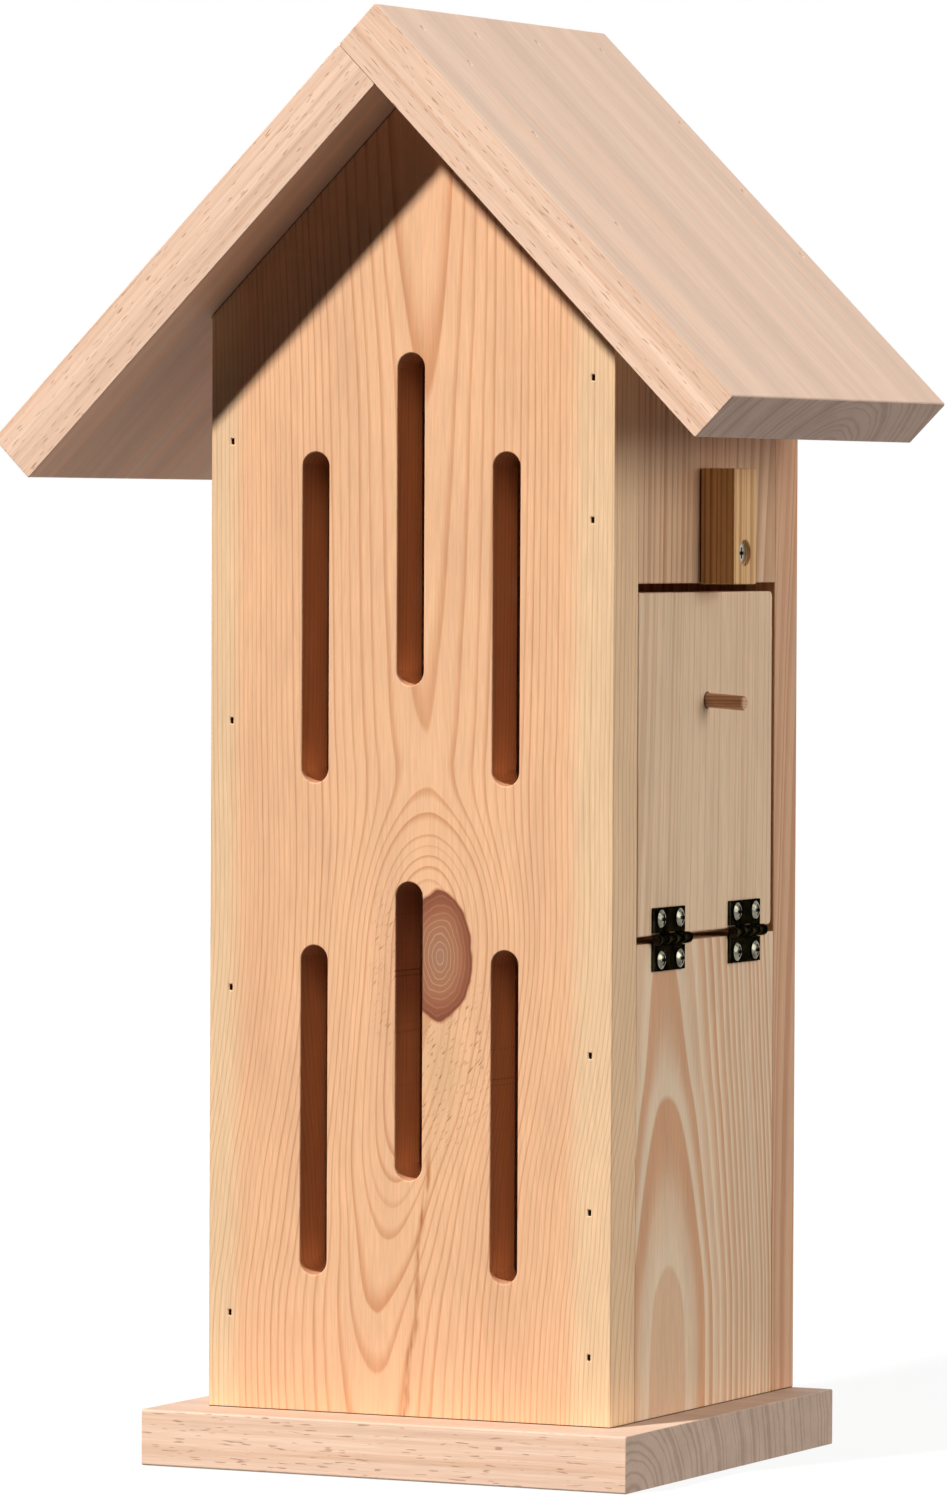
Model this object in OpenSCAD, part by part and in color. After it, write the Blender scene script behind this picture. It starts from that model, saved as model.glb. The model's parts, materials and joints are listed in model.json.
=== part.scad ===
// Butterfly house: a slotted gabled box under two overlapping roof boards,
// with a drop-down side door on two butt hinges and a wooden turn button.
// Millimetres. X is the width, Y the depth with the slots facing -Y, Z is up.
// The origin is the centre of the base board's underside.

/* [House] */
// Width of the front and back panels
house_w = 150; // [130:1:180]
// Depth over the front and back panels
house_d = 150; // [130:1:180]
// Height of the panels' side edges above the base
eave_h = 368.5; // [350:0.5:420]
// Thickness of the front and back panels
panel_t = 19; // [15:0.5:21]
// Thickness of the side boards and the door
side_t = 19; // [15:0.5:21]

/* [Base] */
// Thickness of the base board
base_t = 19; // [15:0.5:25]
// How far the base stands out at each side
base_side = 15; // [5:1:30]
// How far the base stands out at the front
base_front = 20; // [10:1:40]

/* [Roof] */
// Thickness of the roof boards
roof_t = 19; // [15:0.5:22]
// Length of each roof board down the slope
roof_len = 184; // [160:1:230]
// How far the roof stands out at the front
roof_front = 28; // [10:1:50]
// Rounding of the beech boards' long edges
board_round = 0.8; // [0.5:0.1:3]

/* [Slots] */
// Width of the entry slots
slot_w = 10; // [7:0.5:12]
// Length of the entry slots
slot_len = 111; // [90:1:118]
// Length of the lower middle slot
low_mid_len = 100; // [80:1:110]
// Distance of the outer slots from the middle
slot_pitch = 35.5; // [28:0.5:38]
// Foot of the lower outer slots above the base
low_slot_z = 46; // [30:1:55]
// Foot of the upper outer slots above the base
high_slot_z = 211.5; // [190:0.5:216]
// How far the middle slots start above the outer ones
mid_slot_rise = 33; // [20:1:38]

/* [Door] */
// Height of the fixed board under the door
lower_board_h = 159; // [140:1:170]
// Height of the door
door_h = 114.5; // [100:0.5:130]
// Gap between the door and the board under it, at the hinges
hinge_gap = 2.5; // [2:0.1:3.5]
// Gap above the door
top_gap = 3; // [2.6:0.1:5]
// Gap between the door and the front panel
door_front_gap = 0.6; // [0.4:0.1:1.5]
// Gap between the door and the back panel
door_back_gap = 2.2; // [0.4:0.1:3]
// Diameter of the door's peg
peg_d = 5; // [4:0.5:8]
// Rounding of the door's corners next to the back panel
door_corner = 2; // [0.5:0.5:4]
// How far the peg stands out of the door
peg_out = 14; // [8:1:18]
// How far the peg goes into the door
peg_in = 12; // [8:1:14]
// Height of the peg above the door's lower edge
peg_rise = 78; // [60:1:90]
// Droop of the peg, in degrees
peg_droop = 4; // [0:1:5]

/* [Turn button] */
// Length of the turn button
button_len = 39; // [36:1:45]
// Width of the turn button
button_w = 18; // [14:1:20]
// Thickness of the turn button
button_t = 12.5; // [10:0.5:14]
// Screw's distance from the button's short end
button_end = 10.5; // [9.5:0.1:11]
// Screw's height above the top of the door
button_rise = 13.2; // [13:0.1:15]
// Screw's distance behind the middle of the house
button_set_back = 2; // [-10:1:10]
// Gap between the turn button and the board behind it
button_gap = 0.3; // [0.2:0.05:0.6]
// Diameter of the button screw's shank
button_screw_d = 4; // [3.5:0.1:4.5]
// Diameter of the button screw's head
button_head_d = 7.6; // [7:0.1:8.2]
// How far the screw's head is sunk in the button
button_head_sunk = 1.4; // [0.5:0.1:2.5]
// How far the button screw goes into the board
button_screw_in = 15; // [10:1:17]

/* [Hinges] */
// Length of a hinge along its pin
hinge_len = 25; // [20:1:30]
// Height of an open hinge over both leaves
hinge_open = 21.2; // [20:0.2:26]
// Thickness of a hinge leaf
leaf_t = 1; // [0.8:0.1:1.2]
// Outside diameter of the hinge knuckle
knuckle_d = 4; // [3.6:0.1:4.6]
// Diameter of the hinge pin
pin_d = 2; // [1.6:0.1:2.2]
// Distance from a hinge's middle to the door's end
hinge_in = 23.6; // [18:0.2:30]
// Distance between the screws along a leaf
leaf_screw_pitch = 15; // [12:0.5:16]
// Distance of the screws from the hinge's axis
leaf_screw_off = 6.8; // [6.4:0.1:7]
// Diameter of the hinge screws
leaf_screw_d = 2.8; // [2.4:0.1:3.2]
// Diameter of the hinge screws' heads
leaf_head_d = 6.3; // [5:0.1:6.4]
// How far the hinge screws go into the wood
leaf_screw_in = 13; // [10:1:14]

/* [Nails] */
// Length of the brads
nail_len = 30; // [26:1:32]
// How far the brads are sunk
nail_sunk = 1.2; // [0.5:0.1:2]
// Distance of the brads from the edges of the panels
nail_edge = 8; // [6:0.5:11]

/* [Hidden] */
$fn = 48;

pine = [0.93, 0.72, 0.53];
pine_side = [0.78, 0.62, 0.47];
beech = [0.88, 0.74, 0.63];
dowel = [0.80, 0.60, 0.44];
dark_steel = [0.20, 0.19, 0.17];
bright_steel = [0.72, 0.70, 0.64];

// Clearances
fit = 0.05;            // round a screw, nail or peg in its hole, on each side
pin_fit = 0.05;        // round the hinge pin, on its radius
knuckle_gap = 0.3;     // between two knuckles
button_fit = 0.08;     // round the button screw, on its radius
cut = 1;               // how far a cutting tool runs past a face

// The box: back faces are flush, and the base is centred on the origin
base_d = house_d + base_front;
back_y = base_d / 2;
front_y = back_y - house_d;
mid_y = (front_y + back_y) / 2;
half_w = house_w / 2;
inside_d = house_d - 2 * panel_t;
side_front_y = front_y + panel_t;
side_back_y = back_y - panel_t;
eave_z = base_t + eave_h;
apex_z = eave_z + half_w;            // the gable's point, with both slopes at 45 degrees
slope = 45;

// The roof
roof_d = house_d + roof_front;
roof_y = front_y - roof_front;
ridge_z = apex_z + roof_t / cos(slope);

// The door and what holds it
lower_top_z = base_t + lower_board_h;
door_z = lower_top_z + hinge_gap;
door_top_z = door_z + door_h;
upper_z = door_top_z + top_gap;
door_y = side_front_y + door_front_gap;
door_w = inside_d - door_front_gap - door_back_gap;
axis_x = half_w + knuckle_d / 2;
axis_z = lower_top_z + hinge_gap / 2;
knuckles = 4;
knuckle_step = hinge_len / knuckles;
leaf_z = knuckle_d / 2;
leaf_reach = hinge_open / 2;
pin_head_d = pin_d + 1.2;
pin_head_t = 0.6;
leaf_hole_d = leaf_screw_d + 0.4;
head_side = 0.5;
head_crown = 1.1;
recess_w = 1.1;
recess_len = 3.8;
recess_deep = 1.1;
screw_tip = 3;
button_x = half_w + button_gap;
button_y = mid_y + button_set_back;
button_z = door_top_z + button_rise;
button_head_deep = (button_head_d - button_screw_d) / 2;
button_sink_d = button_head_d + 1.2;
head_top = button_t - button_head_sunk;
peg_chamfer = 0.5;
peg_y = mid_y;
peg_z = door_z + peg_rise;

// The brads
nail_head_w = 2;
nail_head_t = 1;
nail_w = 1.2;
nail_t = 1;
// Heights of the brads along each edge of a panel, from the base up and from the eaves down
left_low_nails = [32, 142];
left_high_nails = [136.5, 42.5];
right_low_nails = [23, 71, 123];
right_high_nails = [68.5, 21.5];
// Places of the brads down a roof board, from its upper end
right_front_nails = [26, 60, 103];
right_back_nails = [46, 80, 111];
left_gable_nails = [18, 60, 103];
ridge_nail_y = [-72, -31, 16, 68];
ridge_nail_s = roof_t / 2 + 1;
gable_nail_in = 6;
base_nail_x = 45;

// One brad, head at z = 0 and point downwards, its head along X
module nail() {
    translate([-nail_head_w / 2, -nail_t / 2, -nail_sunk - nail_head_t])
        cube([nail_head_w, nail_t, nail_head_t]);
    translate([-nail_w / 2, -nail_t / 2, -nail_len])
        cube([nail_w, nail_t, nail_len - nail_sunk - nail_head_t]);
}

// The hole that a brad leaves in the wood
module nail_hole() {
    translate([-nail_head_w / 2 - fit, -nail_t / 2 - fit, -nail_sunk - nail_head_t - fit])
        cube([nail_head_w + 2 * fit, nail_t + 2 * fit, nail_sunk + nail_head_t + cut]);
    translate([-nail_w / 2 - fit, -nail_t / 2 - fit, -nail_len - fit])
        cube([nail_w + 2 * fit, nail_t + 2 * fit, nail_len]);
}

// Puts its children at each brad through a panel, seen from the front
module at_panel_nails(left, right) {
    for (z = left) translate([-half_w + nail_edge, front_y, z]) rotate([90, 90, 0]) children();
    for (z = right) translate([half_w - nail_edge, front_y, z]) rotate([90, 90, 0]) children();
}

// Heights of a row of brads that starts at the base and ends at the eaves
function nail_heights(low, high) = concat([for (z = low) base_t + z], [for (z = high) eave_z - z]);

module at_front_nails() {
    at_panel_nails(nail_heights(left_low_nails, left_high_nails),
        nail_heights(right_low_nails, right_high_nails)) children();
}

module at_back_nails()
    translate([0, 2 * mid_y, 0]) mirror([0, 1, 0]) at_front_nails() children();

// Puts its children at a place on the right roof board: down the slope from the ridge, and in Y
module on_right_slope(down, y)
    translate([0, y, ridge_z]) rotate([0, slope, 0]) translate([down, 0, 0]) children();

// The left roof board lies under the right one's end, so its slope starts lower
module on_left_slope(down, y)
    translate([-roof_t * sin(slope), y, ridge_z - roof_t * cos(slope)])
        rotate([0, -slope, 0]) translate([-down, 0, 0]) children();

module at_right_roof_nails() {
    for (s = right_front_nails) on_right_slope(s, front_y + gable_nail_in) children();
    for (s = right_back_nails) on_right_slope(s, back_y - gable_nail_in) children();
}

module at_left_roof_nails() {
    for (y = [front_y + gable_nail_in, back_y - gable_nail_in], s = left_gable_nails)
        on_left_slope(s, y) children();
}

module at_ridge_nails() for (y = ridge_nail_y) on_right_slope(ridge_nail_s, y) children();

module at_base_nails() {
    for (x = [-base_nail_x, base_nail_x], y = [front_y + panel_t / 2, back_y - panel_t / 2])
        translate([x, y, 0]) mirror([0, 0, 1]) children();
    for (x = [-half_w + side_t / 2, half_w - side_t / 2])
        translate([x, mid_y, 0]) mirror([0, 0, 1]) rotate([0, 0, 90]) children();
}

// A rectangle with rounded corners, from its lower left corner
module eased_rectangle(w, h, r) {
    translate([r, 0]) square([w - 2 * r, h]);
    translate([0, r]) square([w, h - 2 * r]);
    for (x = [r, w - r], y = [r, h - r]) translate([x, y]) circle(r);
}

// The outline of a gabled panel above the base
module gable_outline(half, top) {
    polygon([[-half, base_t], [half, base_t], [half, eave_z], [0, top], [-half, eave_z]]);
}

module gabled_panel(y) {
    translate([0, y + panel_t, 0]) rotate([90, 0, 0]) linear_extrude(panel_t)
        gable_outline(half_w, apex_z);
}

// A routed slot with round ends
module slot(x, z, len) {
    translate([x, front_y + panel_t + cut, base_t + z]) rotate([90, 0, 0])
        linear_extrude(panel_t + 2 * cut) {
            translate([-slot_w / 2, slot_w / 2]) square([slot_w, len - slot_w]);
            for (end = [slot_w / 2, len - slot_w / 2]) translate([0, end]) circle(slot_w / 2);
        }
}

module slots() {
    for (x = [-slot_pitch, slot_pitch], z = [low_slot_z, high_slot_z]) slot(x, z, slot_len);
    slot(0, low_slot_z + mid_slot_rise, low_mid_len);
    slot(0, high_slot_z + mid_slot_rise, slot_len);
}

// A side board between the panels, from z up; its top follows the roof
module side_board(side, z, top) {
    x = side > 0 ? half_w - side_t : -half_w;
    intersection() {
        translate([x, side_front_y, z]) cube([side_t, inside_d, top - z]);
        translate([0, side_back_y + cut, 0]) rotate([90, 0, 0])
            linear_extrude(inside_d + 2 * cut) gable_outline(half_w, apex_z);
    }
}

module base_board() {
    color(beech) difference() {
        translate([-half_w - base_side, 0, 0]) rotate([90, 0, 90])
            linear_extrude(house_w + 2 * base_side) translate([-base_d / 2, 0])
                eased_rectangle(base_d, base_t, board_round);
        at_base_nails() nail_hole();
    }
}

module front_panel() {
    color(pine) difference() {
        gabled_panel(front_y);
        slots();
        at_front_nails() nail_hole();
        at_right_roof_nails() nail_hole();
        at_left_roof_nails() nail_hole();
        at_base_nails() nail_hole();
    }
}

module back_panel() {
    color(pine) difference() {
        gabled_panel(back_y - panel_t);
        at_back_nails() nail_hole();
        at_right_roof_nails() nail_hole();
        at_left_roof_nails() nail_hole();
        at_base_nails() nail_hole();
    }
}

module left_side_board() {
    color(pine_side) difference() {
        side_board(-1, base_t, apex_z);
        at_front_nails() nail_hole();
        at_back_nails() nail_hole();
        at_base_nails() nail_hole();
    }
}

module right_upper_board() {
    color(pine_side) difference() {
        side_board(1, upper_z, apex_z);
        at_front_nails() nail_hole();
        at_back_nails() nail_hole();
        translate([half_w + cut, button_y, button_z]) rotate([0, -90, 0])
            cylinder(h = button_screw_in + cut + fit, d = button_screw_d + 2 * fit);
    }
}

module right_lower_board() {
    color(pine_side) difference() {
        side_board(1, base_t, lower_top_z);
        at_front_nails() nail_hole();
        at_back_nails() nail_hole();
        at_base_nails() nail_hole();
        at_leaf_screws(-1) leaf_screw_hole();
    }
}

module roof_board() {
    rotate([-90, 0, 0]) linear_extrude(roof_d) eased_rectangle(roof_len, roof_t, board_round);
}

module roof_board_right() {
    color(beech) difference() {
        on_right_slope(0, roof_y) roof_board();
        at_right_roof_nails() nail_hole();
        at_ridge_nails() nail_hole();
    }
}

module roof_board_left() {
    color(beech) difference() {
        on_left_slope(roof_len, roof_y) roof_board();
        at_left_roof_nails() nail_hole();
        at_ridge_nails() nail_hole();
    }
}

module front_panel_nails() color(dark_steel) at_front_nails() nail();
module back_panel_nails() color(dark_steel) at_back_nails() nail();
module roof_ridge_nails() color(dark_steel) at_ridge_nails() nail();
module roof_right_nails() color(dark_steel) at_right_roof_nails() nail();
module roof_left_nails() color(dark_steel) at_left_roof_nails() nail();
module base_nails() color(dark_steel) at_base_nails() nail();

// The peg's own frame: Z points out of the door along the peg, from the door's face
module at_peg() translate([half_w, peg_y, peg_z]) rotate([0, 90 + peg_droop, 0]) children();

module door_board() {
    color(pine_side) difference() {
        translate([half_w, door_y, door_z]) rotate([0, -90, 0]) linear_extrude(side_t) {
            square([door_h, door_w - door_corner]);
            translate([door_corner, 0]) square([door_h - 2 * door_corner, door_w]);
            for (z = [door_corner, door_h - door_corner])
                translate([z, door_w - door_corner]) circle(door_corner);
        }
        at_peg() translate([0, 0, -peg_in - fit])
            cylinder(h = peg_in + fit + cut, d = peg_d + 2 * fit);
        at_leaf_screws(1) leaf_screw_hole();
    }
}

module door_peg() {
    color(dowel) at_peg() {
        translate([0, 0, -peg_in]) cylinder(h = peg_in + peg_out - peg_chamfer, d = peg_d);
        translate([0, 0, peg_out - peg_chamfer])
            cylinder(h = peg_chamfer, d1 = peg_d, d2 = peg_d - 2 * peg_chamfer);
    }
}

// The button's own frame: the screw's axis along Z, out of the wall, from the button's back
module at_button() translate([button_x, button_y, button_z]) rotate([0, 90, 0]) children();

module turn_button() {
    color(pine_side) difference() {
        at_button() translate([-button_len + button_end, -button_w / 2, 0])
            cube([button_len, button_w, button_t]);
        at_button() translate([0, 0, -cut])
            cylinder(h = button_t + 2 * cut, d = button_screw_d + 2 * button_fit);
        at_button() translate([0, 0, head_top - button_head_deep - fit])
            cylinder(h = button_head_deep + fit, d1 = button_screw_d + 2 * button_fit,
                d2 = button_head_d + 2 * button_fit);
        at_button() translate([0, 0, head_top])
            cylinder(h = button_head_sunk + cut, d = button_sink_d);
    }
}

// Two crossed slots in a screw's head, cut down from z = 0
module cross_recess(len) {
    for (turn = [0, 90]) rotate([0, 0, turn])
        translate([-len / 2, -recess_w / 2, -recess_deep]) cube([len, recess_w, recess_deep + cut]);
}

module button_screw() {
    color(dark_steel) at_button() difference() {
        union() {
            translate([0, 0, head_top - button_head_deep])
                cylinder(h = button_head_deep, d1 = button_screw_d, d2 = button_head_d);
            translate([0, 0, screw_tip - button_screw_in - button_gap])
                cylinder(h = head_top - button_head_deep + button_screw_in + button_gap - screw_tip,
                    d = button_screw_d);
            translate([0, 0, -button_screw_in - button_gap])
                cylinder(h = screw_tip, d1 = 0.6, d2 = button_screw_d);
        }
        translate([0, 0, head_top]) cross_recess(recess_len);
    }
}

// The middles of the hinges in Y
function hinge_y(side) = side < 0 ? door_y + hinge_in : door_y + door_w - hinge_in;

// Puts its children at the screws of one pair of leaves: below the axis for -1, above it for 1
module at_leaf_screws(leaf) {
    for (side = [-1, 1], along = [-1, 1])
        translate([half_w, hinge_y(side) + along * leaf_screw_pitch / 2,
                axis_z + leaf * leaf_screw_off])
            rotate([0, 90, 0]) children();
}

module leaf_screw_hole() {
    translate([0, 0, -leaf_screw_in - fit])
        cylinder(h = leaf_screw_in + fit + cut, d = leaf_screw_d + 2 * fit);
}

// A pan-head wood screw, from the wood's face at z = 0
module leaf_screw() {
    head_h = head_side + head_crown;
    crown_r = (pow(leaf_head_d / 2, 2) + pow(head_crown, 2)) / (2 * head_crown);
    difference() {
        union() {
            intersection() {
                translate([0, 0, leaf_t + head_h - crown_r]) sphere(crown_r, $fn = 64);
                translate([0, 0, leaf_t]) cylinder(h = head_h + cut, d = leaf_head_d);
            }
            translate([0, 0, screw_tip - leaf_screw_in])
                cylinder(h = leaf_screw_in + leaf_t - screw_tip + fit, d = leaf_screw_d);
            translate([0, 0, -leaf_screw_in]) cylinder(h = screw_tip, d1 = 0.5, d2 = leaf_screw_d);
        }
        translate([0, 0, leaf_t + head_h]) cross_recess(recess_len);
    }
}

module house_leaf_screws() color(bright_steel) at_leaf_screws(-1) leaf_screw();
module door_leaf_screws() color(bright_steel) at_leaf_screws(1) leaf_screw();

// One hinge leaf with the knuckles in list, below the axis for leaf -1 and above it for 1
module hinge_leaf(side, leaf, list) {
    y0 = hinge_y(side) - hinge_len / 2;
    low = leaf > 0 ? axis_z + leaf_z + knuckle_gap : axis_z - leaf_reach;
    plate_h = leaf_reach - leaf_z - knuckle_gap;
    root_z = leaf > 0 ? axis_z : low + plate_h - cut / 2;
    color(dark_steel) difference() {
        union() {
            translate([half_w, y0, low]) cube([leaf_t, hinge_len, plate_h]);
            for (k = list) {
                ky = y0 + k * knuckle_step + knuckle_gap / 2;
                kw = knuckle_step - knuckle_gap;
                translate([axis_x, ky, axis_z]) rotate([-90, 0, 0]) cylinder(h = kw, d = knuckle_d);
                translate([half_w, ky, root_z])
                    cube([leaf_t, kw, leaf_z + knuckle_gap + cut / 2]);
            }
        }
        translate([axis_x, y0 - cut, axis_z]) rotate([-90, 0, 0])
            cylinder(h = hinge_len + 2 * cut, d = pin_d + 2 * pin_fit);
        for (along = [-1, 1])
            translate([half_w - cut, hinge_y(side) + along * leaf_screw_pitch / 2,
                    axis_z + leaf * leaf_screw_off])
                rotate([0, 90, 0]) cylinder(h = leaf_t + 2 * cut, d = leaf_hole_d);
    }
}

module hinge_pin(side) {
    color(bright_steel) translate([axis_x, hinge_y(side) - hinge_len / 2, axis_z])
        rotate([-90, 0, 0]) {
            translate([0, 0, -pin_head_t]) cylinder(h = pin_head_t, d = pin_head_d);
            cylinder(h = hinge_len, d = pin_d);
            translate([0, 0, hinge_len]) cylinder(h = pin_head_t, d = pin_head_d);
        }
}

house_knuckles = [0, 2];
door_knuckles = [1, 3];
module front_hinge_house_leaf() hinge_leaf(-1, -1, house_knuckles);
module front_hinge_door_leaf() hinge_leaf(-1, 1, door_knuckles);
module front_hinge_pin() hinge_pin(-1);
module rear_hinge_house_leaf() hinge_leaf(1, -1, house_knuckles);
module rear_hinge_door_leaf() hinge_leaf(1, 1, door_knuckles);
module rear_hinge_pin() hinge_pin(1);

base_board();
front_panel();
back_panel();
left_side_board();
right_upper_board();
right_lower_board();
roof_board_left();
roof_board_right();
front_panel_nails();
back_panel_nails();
roof_ridge_nails();
roof_right_nails();
roof_left_nails();
base_nails();
door_board();
door_peg();
turn_button();
button_screw();
front_hinge_house_leaf();
front_hinge_door_leaf();
front_hinge_pin();
rear_hinge_house_leaf();
rear_hinge_door_leaf();
rear_hinge_pin();
house_leaf_screws();
door_leaf_screws();
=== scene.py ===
"""Looks of a wooden butterfly house: oiled pine box, beech roof and base, small nickel hinges."""

import json
import logging
import math
from dataclasses import dataclass
from enum import Enum
from typing import Callable

import bmesh
import bpy
from mathutils import Matrix, Vector

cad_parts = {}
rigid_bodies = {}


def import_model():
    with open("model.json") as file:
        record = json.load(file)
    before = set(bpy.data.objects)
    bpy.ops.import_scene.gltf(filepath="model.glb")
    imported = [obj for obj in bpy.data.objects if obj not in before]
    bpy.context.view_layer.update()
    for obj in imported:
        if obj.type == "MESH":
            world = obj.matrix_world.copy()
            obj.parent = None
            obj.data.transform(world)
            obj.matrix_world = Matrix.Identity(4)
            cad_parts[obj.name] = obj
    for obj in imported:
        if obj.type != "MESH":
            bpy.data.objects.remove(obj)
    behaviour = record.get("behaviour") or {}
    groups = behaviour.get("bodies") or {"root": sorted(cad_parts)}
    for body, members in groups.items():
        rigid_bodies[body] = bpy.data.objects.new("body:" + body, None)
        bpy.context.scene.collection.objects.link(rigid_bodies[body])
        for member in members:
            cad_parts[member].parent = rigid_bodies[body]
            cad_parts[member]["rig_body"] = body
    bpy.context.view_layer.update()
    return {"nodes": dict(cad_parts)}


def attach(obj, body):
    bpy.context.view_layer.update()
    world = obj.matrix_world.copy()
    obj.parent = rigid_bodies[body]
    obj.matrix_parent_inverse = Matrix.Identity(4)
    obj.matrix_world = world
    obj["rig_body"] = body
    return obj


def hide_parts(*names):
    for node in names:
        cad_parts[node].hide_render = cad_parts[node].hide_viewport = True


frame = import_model()

LOG = logging.getLogger("butterfly_house")
MM = 0.001

# A copy's corners are merged within this distance, and its triangles where they lie in one plane.
SAME_CORNER = 0.001 * MM
SAME_PLANE = math.radians(0.5)
# Edges that turn further than this are eased, and what turns less than this shades as one.
SHARP_TURN = math.radians(35)
SMOOTH_TURN = math.radians(60)
# Faces above this size are a piece's main flat ones. What faces the same way as one of them, within
# this cosine, is shaded flat.
SMALL_FACE = 16 * MM * MM
LEVEL_COSINE = 0.99999
# No edge in a brad's hole is longer than this. The routed slots' round ends have short edges too.
# They lie within this distance of the middle and between these heights.
HOLE_EDGE = 2.6 * MM
SLOTS_WITHIN = 55 * MM
SLOTS_FROM = 25 * MM
SLOTS_TO = 400 * MM

Socket = bpy.types.NodeSocket
Links = dict | list
Point = tuple[float, float, float]
Span = tuple[float, float]
Profile = tuple[Span, ...]
EdgeTest = Callable[[bmesh.types.BMEdge], bool]

# A Mix node's inputs for colours, by number as several share a name, and what makes it mix them.
SHARE, UNDER, OVER = 0, 6, 7
COLOURS = {"out": 2, "data_type": "RGBA"}
# Most of a noise lies between these.
NOISE_LOW, NOISE_HIGH = 0.3, 0.7
# How deep the relief of grain and of smears is, in mm.
WOOD_RELIEF = 0.12
METAL_RELIEF = 0.05
# A log's heart lies within this distance of a board's middle, and within this depth of its face, in mm.
HEART_REACH = 100
HEART_DEPTH = 60


def linear(colour: str) -> tuple[float, float, float, float]:
    """Turns an sRGB hex colour into a linear one.

    Args:
        colour: six hex digits, such as "e8b98f".

    Returns:
        Linear red, green and blue, and an alpha of 1.
    """
    parts = [int(colour[i:i + 2], 16) / 255 for i in (0, 2, 4)]
    flat = [c / 12.92 if c <= 0.04045 else ((c + 0.055) / 1.055) ** 2.4 for c in parts]
    return (*flat, 1.0)


class Shader:
    """The nodes of a material or a world under construction."""

    def __init__(self, owner: bpy.types.Material | bpy.types.World) -> None:
        """Empties the owner's node tree.

        Args:
            owner: a new material or world.
        """
        owner.use_nodes = True
        self.owner = owner
        self.tree = owner.node_tree
        self.tree.nodes.clear()

    def add(self, kind: str, links: Links | None = None, out: int | str | None = 0,
            **settings) -> Socket | bpy.types.NodeOutputs:
        """Adds one node with its settings and links.

        Args:
            kind: the node's type, without its ShaderNode prefix.
            links: what each input gets, by position or by name or index: a socket or a value.
            out: the output to return, or None for all of them.
            **settings: the node's own properties; stops fills a colour ramp and points a curve.

        Returns:
            The chosen output socket, or all output sockets.
        """
        made = self.tree.nodes.new("ShaderNode" + kind)
        for key, value in settings.items():
            if key == "stops":
                self._fill_ramp(made.color_ramp.elements, value)
            elif key == "points":
                self._fill_curve(made.mapping, value)
            else:
                setattr(made, key, value)
        pairs = enumerate(links) if isinstance(links, list) else (links or {}).items()
        for key, value in pairs:
            if isinstance(value, Socket):
                self.tree.links.new(value, made.inputs[key])
            elif value is not None:
                made.inputs[key].default_value = value
        return made.outputs if out is None else made.outputs[out]

    @staticmethod
    def _fill_ramp(elements: bpy.types.ColorRampElements, stops: tuple[tuple[float, str], ...]) -> None:
        """Puts colours along a colour ramp.

        Args:
            elements: the ramp's own stops.
            stops: places from 0 to 1, each with a hex colour.
        """
        while len(elements) < len(stops):
            elements.new(1.0)
        for element, (place, colour) in zip(elements, stops):
            element.position = place
            element.color = linear(colour)

    @staticmethod
    def _fill_curve(mapping: bpy.types.CurveMapping, points: list[Span]) -> None:
        """Draws a float curve.

        Args:
            mapping: the node's curve.
            points: where it passes through, both ways from 0 to 1.
        """
        curve = mapping.curves[0]
        while len(curve.points) < len(points):
            curve.points.new(0.5, 0.5)
        for made, place in zip(curve.points, points):
            made.location = place
        mapping.update()

    def follow(self, value: Socket, points: Profile | list[Span], low: float, high: float) -> Socket:
        """Follows a smooth curve through points.

        Args:
            value: the place along the curve.
            points: places and heights that it passes through.
            low: a height at or below the lowest one.
            high: a height at or above the highest one.

        Returns:
            The curve's height at that place.
        """
        start, end = points[0][0], points[-1][0]
        place = self.add("MapRange", {"Value": value, "From Min": start, "From Max": end})
        shape = [((at - start) / (end - start), (height - low) / (high - low)) for at, height in points]
        height = self.add("FloatCurve", {"Value": place}, points=shape)
        return self.add("Math", [height, high - low, low], operation="MULTIPLY_ADD")

    def finish(self, **sockets: Socket | float | tuple) -> bpy.types.Material:
        """Ends the material in a Principled shader.

        Args:
            **sockets: Principled inputs, with _ for a space.

        Returns:
            The finished material.
        """
        links = {key.replace("_", " "): value for key, value in sockets.items()}
        surface = self.add("BsdfPrincipled", links)
        self.add("OutputMaterial", [surface], out=None)
        return self.owner


@dataclass(frozen=True)
class PaintedShade:
    """Painted shade: a darker colour in holes and tight joints, where little open air reaches, so they
    read as dark gaps.
    """

    colour: str
    # The shade is painted within this many mm of the next surface, below this share of open air.
    reach: float
    shade_below: float
    # How much the painted shade hides at most, and the rays that look for that surface.
    most: float = 0.9
    rays: int = 8

    def over(self, sh: Shader, colour: Socket) -> Socket:
        """Paints shade on a surface where it is shut in.

        Args:
            sh: the material being made.
            colour: the open surface's colour.

        Returns:
            The colour with painted shade in its gaps.
        """
        air = sh.add("AmbientOcclusion", {"Distance": self.reach * MM}, out="AO", samples=self.rays)
        share = sh.add("MapRange", {"Value": air, "From Min": self.shade_below, "From Max": self.shade_below / 2,
                                    "To Max": self.most})
        return sh.add("Mix", {SHARE: share, UNDER: colour, OVER: linear(self.colour)}, **COLOURS)


# Painted shade for the wood's holes and joints, and for the metal's corners and screw crosses.
WOOD_PAINTED_SHADE = PaintedShade("42271a", reach=1.6, shade_below=0.6)
METAL_PAINTED_SHADE = PaintedShade("15120c", reach=0.9, shade_below=0.85)


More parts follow.
